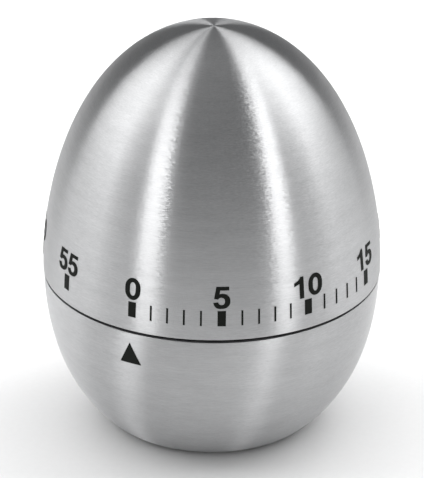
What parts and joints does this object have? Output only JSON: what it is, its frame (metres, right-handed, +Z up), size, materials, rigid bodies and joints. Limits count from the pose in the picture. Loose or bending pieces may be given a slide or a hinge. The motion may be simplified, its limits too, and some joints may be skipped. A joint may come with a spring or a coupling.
{
  "type": "kitchen timer",
  "caption": "Egg-shaped stainless-steel kitchen timer: a dial shell turned against a clockwork movement, a printed minute scale and a bell.",
  "frame": {"origin": "centre of the foot ring's resting face", "axes": "+Z up along the egg's axis; the printed pointer faces -Y"},
  "size_m": [0.06, 0.06, 0.0738],
  "materials": {
    "shell_steel": "stainless steel, brushed round the axis",
    "black_ink": "printed ink, satin",
    "black_plastic": "moulded, fine spark-eroded texture",
    "foot_rubber": "moulded rubber",
    "bell_steel": "nickel-plated, spun",
    "plate_brass": "rolled sheet, stamped",
    "wheel_brass": "stamped and turned",
    "pinion_brass": "cut from rod",
    "arbor_steel": "ground bright",
    "screw_steel": "zinc-plated",
    "spring_steel": "blued, rolled strip",
    "stamped_steel": "stamped, tumbled"
  },
  "bodies": {
    "case": {"base_shell": "shell_steel", "movement_liner": "black_plastic", "bottom_cover": "black_plastic", "foot_ring": "foot_rubber", "cover_screws": "screw_steel", "bell_post": "wheel_brass", "bell": "bell_steel", "bell_screw": "screw_steel", "lower_plate": "plate_brass", "upper_plate": "plate_brass", "plate_pillars": "arbor_steel", "plate_screws": "screw_steel", "movement_screws": "screw_steel", "main_bushes": "wheel_brass", "mainspring": "spring_steel", "spring_post": "arbor_steel", "hammer_post": "arbor_steel", "hammer_spring": "spring_steel", "pointer_mark": "black_ink"},
    "dial": {"dial_shell": "shell_steel", "minute_scale": "black_ink", "dial_core": "black_plastic", "main_arbor": "arbor_steel", "arbor_clip": "spring_steel", "ratchet_wheel": "stamped_steel", "lock_cam": "stamped_steel"},
    "going_wheel": {"main_wheel": "wheel_brass", "click_rivet": "arbor_steel", "click_spring": "spring_steel"},
    "click": {"click": "stamped_steel"},
    "second_shaft": {"second_arbor": "arbor_steel", "second_pinion": "pinion_brass", "second_wheel": "wheel_brass", "strike_star": "stamped_steel"},
    "third_shaft": {"third_arbor": "arbor_steel", "third_pinion": "pinion_brass", "third_wheel": "wheel_brass"},
    "escape_shaft": {"escape_arbor": "arbor_steel", "escape_pinion": "pinion_brass", "escape_wheel": "wheel_brass"},
    "balance": {"balance_staff": "arbor_steel", "balance_ring": "wheel_brass", "pallet_anchor": "stamped_steel", "pallet_pins": "arbor_steel"},
    "hammer": {"strike_lever": "stamped_steel", "hammer_pin": "arbor_steel", "hammer_head": "wheel_brass"}
  },
  "joints": [
    {"name": "dial_turn", "type": "hinge", "parent": "case", "child": "dial", "pos_m": [0, 0, 0.04], "axis": [0, 0, 1], "range_deg": [-360, 0], "deforming": ["mainspring"]},
    {"name": "going_wheel_turn", "type": "hinge", "parent": "case", "child": "going_wheel", "pos_m": [0, 0, 0.0202], "axis": [0, 0, 1], "continuous": true},
    {"name": "click_lift", "type": "hinge", "parent": "going_wheel", "child": "click", "pos_m": [0.0047, 0.00672, 0.0211], "axis": [0, 0, 1], "range_deg": [0, 8], "stiffness_Nm_per_rad": 0.00005},
    {"name": "second_turn", "type": "hinge", "parent": "case", "child": "second_shaft", "pos_m": [0, 0.01296, 0.02], "axis": [0, 0, 1], "continuous": true},
    {"name": "third_turn", "type": "hinge", "parent": "case", "child": "third_shaft", "pos_m": [0.01024, 0.00954, 0.02], "axis": [0, 0, 1], "continuous": true},
    {"name": "escape_turn", "type": "hinge", "parent": "case", "child": "escape_shaft", "pos_m": [0.01665, 0.00345, 0.02], "axis": [0, 0, 1], "continuous": true},
    {"name": "balance_swing", "type": "hinge", "parent": "case", "child": "balance", "pos_m": [0.0178, -0.00264, 0.02], "axis": [0, 0, 1], "range_deg": [-8, 8]},
    {"name": "hammer_swing", "type": "hinge", "parent": "case", "child": "hammer", "pos_m": [-0.01034, 0.00868, 0.0135], "axis": [0, 0, 1], "range_deg": [-5, 0]}
  ],
  "couplings": [
    {"joint": "going_wheel_turn", "follows": "dial_turn", "ratio": 1},
    {"joint": "second_turn", "follows": "dial_turn", "ratio": -8},
    {"joint": "third_turn", "follows": "dial_turn", "ratio": 64},
    {"joint": "escape_turn", "follows": "dial_turn", "ratio": -480}
  ]
}
